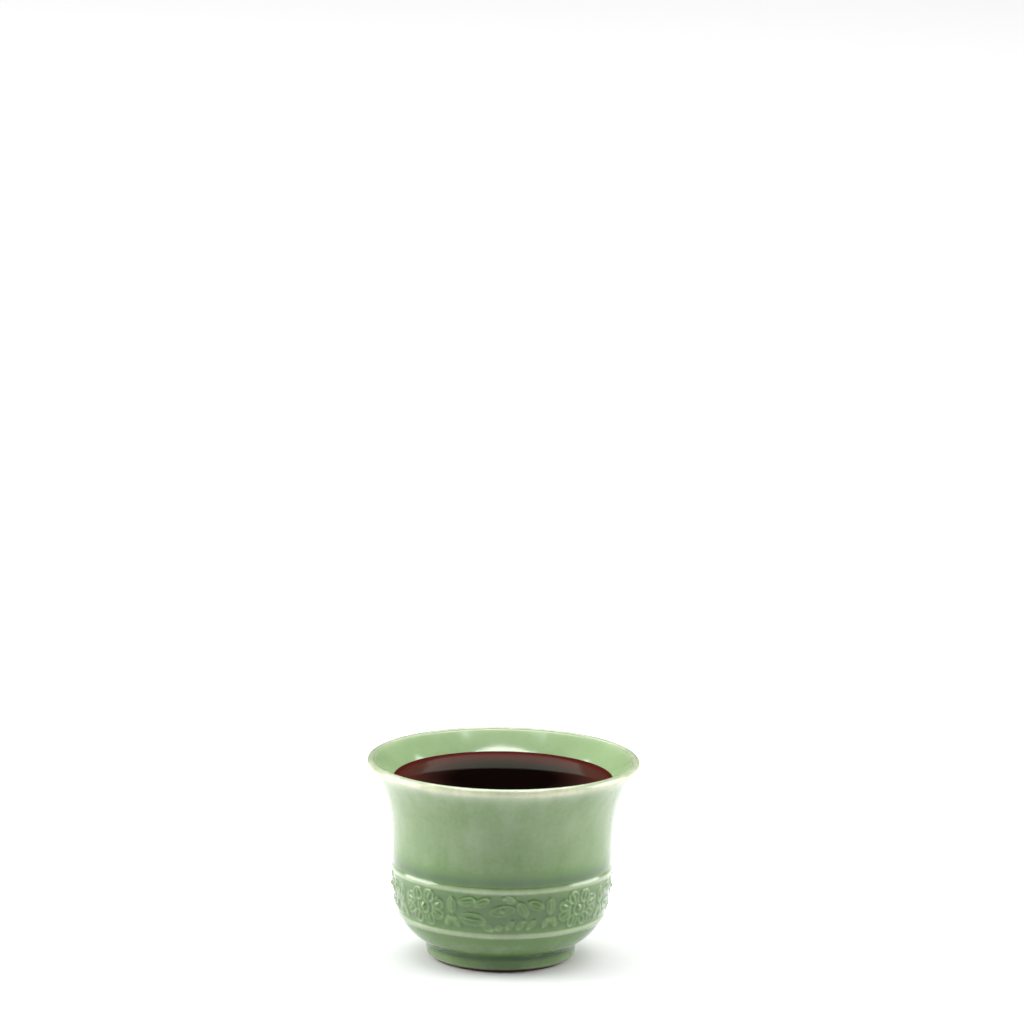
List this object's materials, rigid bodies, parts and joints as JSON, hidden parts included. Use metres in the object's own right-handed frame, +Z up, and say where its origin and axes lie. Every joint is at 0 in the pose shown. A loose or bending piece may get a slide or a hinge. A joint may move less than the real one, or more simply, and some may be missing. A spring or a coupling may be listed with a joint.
{
  "type": "teacup",
  "caption": "Small flared stoneware tea cup with a low turned foot and a band of applied blossoms and leaf scrolls between raised beads, celadon glazed inside and out.",
  "frame": {"origin": "centre of the foot's bearing face, on the surface that the cup stands on", "axes": "+Z up along the axis of turning, towards the lip; -Y towards the middle of one leaf scroll, +X to the right of someone who looks at that scroll"},
  "size_m": [0.07, 0.07, 0.052],
  "materials": {
    "body_clay": "fired grey-buff stoneware, under glaze",
    "foot_clay": "fired stoneware, toasted brown where bare",
    "relief_clay": "fired stoneware, under glaze",
    "outer_glaze": "glossy celadon, grey-green, paler where thin",
    "liner_glaze": "glossy celadon, yellow-green",
    "well_glaze": "glossy celadon"
  },
  "bodies": {
    "root": {"bowl": "body_clay", "foot_ring": "foot_clay", "upper_bead": "relief_clay", "lower_bead": "relief_clay", "blossom_sprigs": "relief_clay", "leaf_sprigs": "relief_clay", "bud_sprigs": "relief_clay", "outer_glaze": "outer_glaze", "liner_glaze": "liner_glaze", "well_glaze": "well_glaze"}
  },
  "joints": []
}
